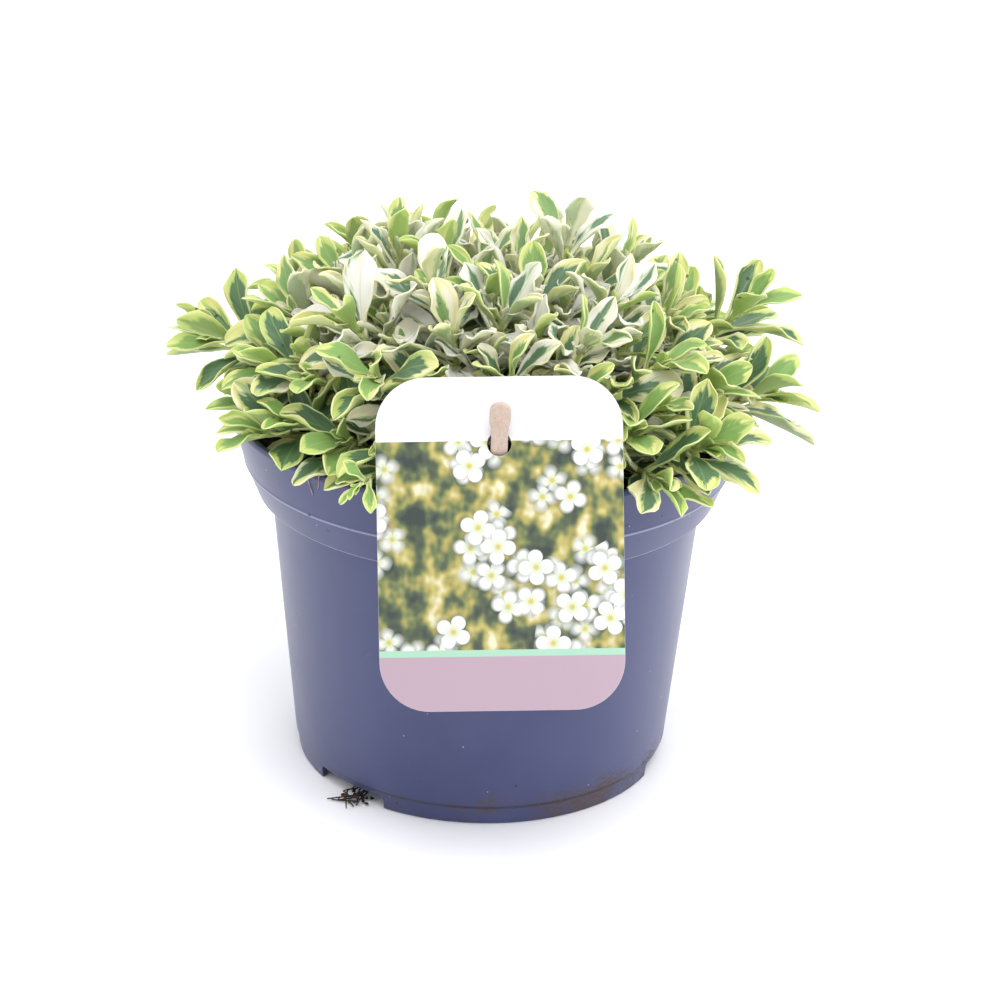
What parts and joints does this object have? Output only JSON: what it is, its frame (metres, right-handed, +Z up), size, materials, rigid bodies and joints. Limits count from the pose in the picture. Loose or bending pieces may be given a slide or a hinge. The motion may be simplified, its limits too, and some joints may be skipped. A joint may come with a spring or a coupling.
{
  "type": "potted variegated rock cress",
  "caption": "Low dome of cream-edged spoon leaves on leafy shoots in peat, in a round tapered plastic pot with a rounded label card hung on a wooden stick at the rim.",
  "frame": {"origin": "on the pot's axis at the level of its foot, which is the middle of the bottom of the whole part's box", "axes": "+Z up along the pot's axis, -Y towards the label card, +X to the right seen from the card's side"},
  "size_m": [0.1773, 0.1746, 0.1587],
  "materials": {
    "pot_plastic": "satin moulded polypropylene, slate blue",
    "peat": "rough fibrous peat compost",
    "printed_card": "smooth coated card with a satin print",
    "birch_stick": "sanded bare wood, fine grain",
    "leaf_green": "fresh leaf, semi-matt, green with a lime margin",
    "leaf_cream": "fresh leaf, semi-matt, cream with green splashes"
  },
  "bodies": {
    "root": {"pot": "pot_plastic", "soil": "peat", "label_card": "printed_card", "label_stick": "birch_stick", "shoot_01": "leaf_cream", "shoot_02": "leaf_cream", "shoot_03": "leaf_cream", "shoot_04": "leaf_cream", "shoot_05": "leaf_cream", "shoot_06": "leaf_cream", "shoot_07": "leaf_cream", "shoot_08": "leaf_cream", "shoot_09": "leaf_cream", "shoot_10": "leaf_cream", "shoot_11": "leaf_cream", "shoot_12": "leaf_cream", "shoot_13": "leaf_green", "shoot_14": "leaf_green", "shoot_15": "leaf_green", "shoot_16": "leaf_green", "shoot_17": "leaf_green", "shoot_18": "leaf_green", "shoot_19": "leaf_green", "shoot_20": "leaf_green", "shoot_21": "leaf_green", "shoot_22": "leaf_green", "shoot_23": "leaf_green", "shoot_24": "leaf_green", "shoot_25": "leaf_green", "shoot_26": "leaf_green", "shoot_27": "leaf_green", "shoot_28": "leaf_green", "shoot_29": "leaf_green", "shoot_30": "leaf_green", "shoot_31": "leaf_green", "shoot_32": "leaf_green", "shoot_right_upper": "leaf_green", "shoot_right_tip": "leaf_green", "shoot_right_star": "leaf_green", "shoot_right_front": "leaf_green", "shoot_right_low": "leaf_green", "shoot_left_tip": "leaf_green", "shoot_left_rim": "leaf_green", "shoot_left_front": "leaf_green", "shoot_front_small": "leaf_green", "shoot_top_right": "leaf_cream", "shoot_top_left": "leaf_cream", "shoot_back_middle": "leaf_green", "shoot_back_left": "leaf_green", "shoot_back_right": "leaf_green"}
  },
  "joints": []
}
